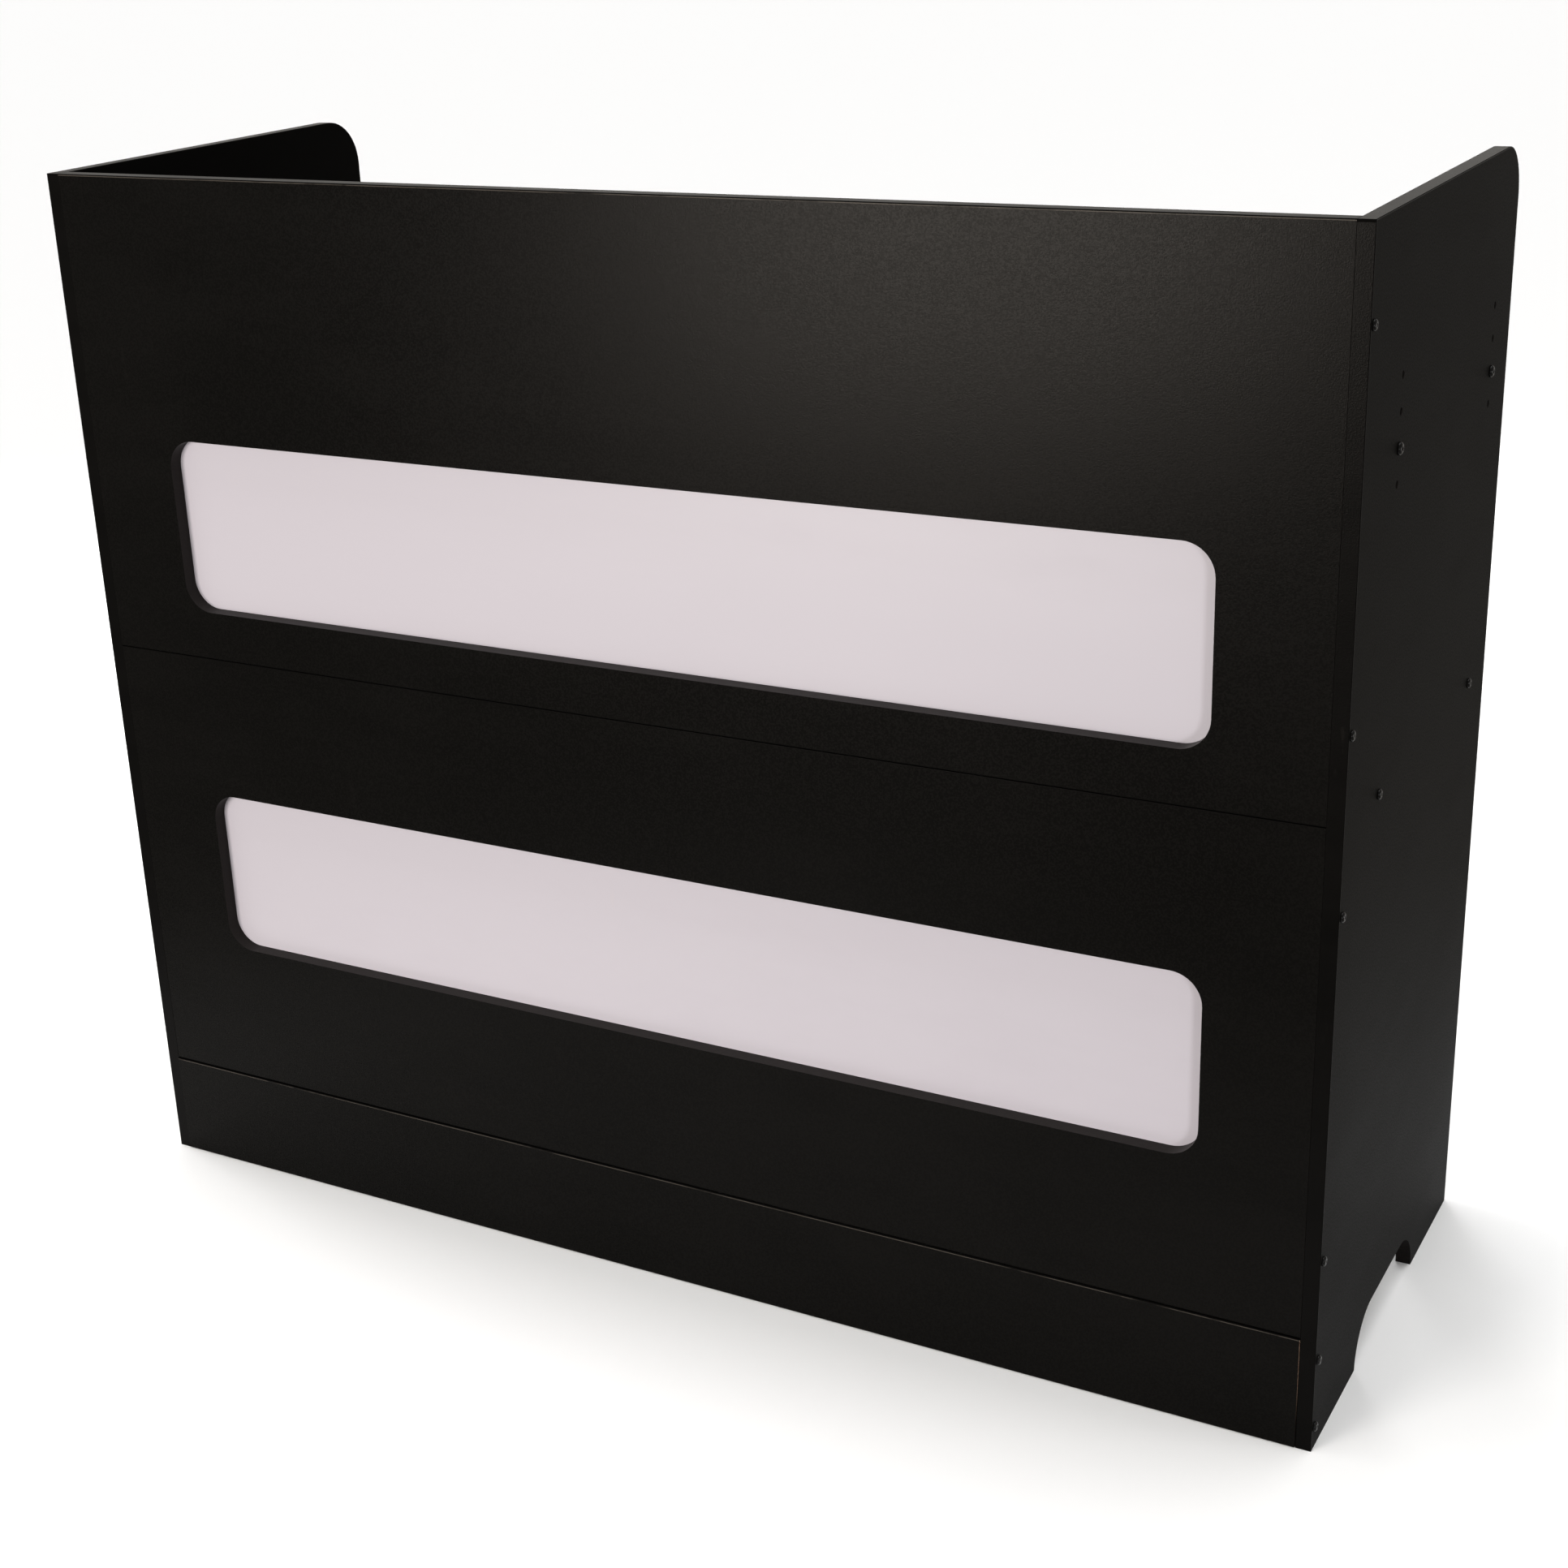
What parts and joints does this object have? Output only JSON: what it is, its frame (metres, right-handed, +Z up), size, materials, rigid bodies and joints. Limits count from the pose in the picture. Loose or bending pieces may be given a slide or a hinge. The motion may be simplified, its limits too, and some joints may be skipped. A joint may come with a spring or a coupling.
{
  "type": "dj booth",
  "caption": "Flat-pack DJ booth of black melamine board: side panels on cut-out feet, a front with long rounded opal windows, plinth, height-adjustable worktop and shelf, open at the rear.",
  "frame": {"origin": "on the floor, under the middle of the side panels", "axes": "+X to the right seen from the front, +Y from the front panels to the open rear, +Z up"},
  "size_m": [1.3366, 0.4865, 1.1],
  "materials": {
    "black_melamine": "fine pearl-grain black melamine on chipboard, satin",
    "black_edging": "black plastic edge band, satin",
    "opal_acrylic": "white opal acrylic sheet, soft gloss",
    "black_steel": "blackened steel, semi-gloss",
    "zinc_steel": "bright zinc-plated steel",
    "clip_plastic": "black moulded plastic, matte"
  },
  "bodies": {
    "root": {"left_side_panel": "black_melamine", "right_side_panel": "black_melamine", "upper_front_panel": "black_melamine", "lower_front_panel": "black_melamine", "plinth_panel": "black_melamine", "worktop": "black_melamine", "middle_shelf": "black_melamine", "left_side_edging": "black_edging", "right_side_edging": "black_edging", "upper_front_edging": "black_edging", "lower_front_edging": "black_edging", "plinth_edging": "black_edging", "worktop_edging": "black_edging", "middle_shelf_edging": "black_edging", "upper_window_pane": "opal_acrylic", "lower_window_pane": "opal_acrylic", "upper_pane_clips": "clip_plastic", "lower_pane_clips": "clip_plastic", "upper_clip_screws": "zinc_steel", "lower_clip_screws": "zinc_steel", "upper_front_screws": "black_steel", "lower_front_screws": "black_steel", "plinth_screws": "black_steel", "shelf_screws": "black_steel", "worktop_bolts": "black_steel", "worktop_barrel_nuts": "zinc_steel"}
  },
  "joints": []
}
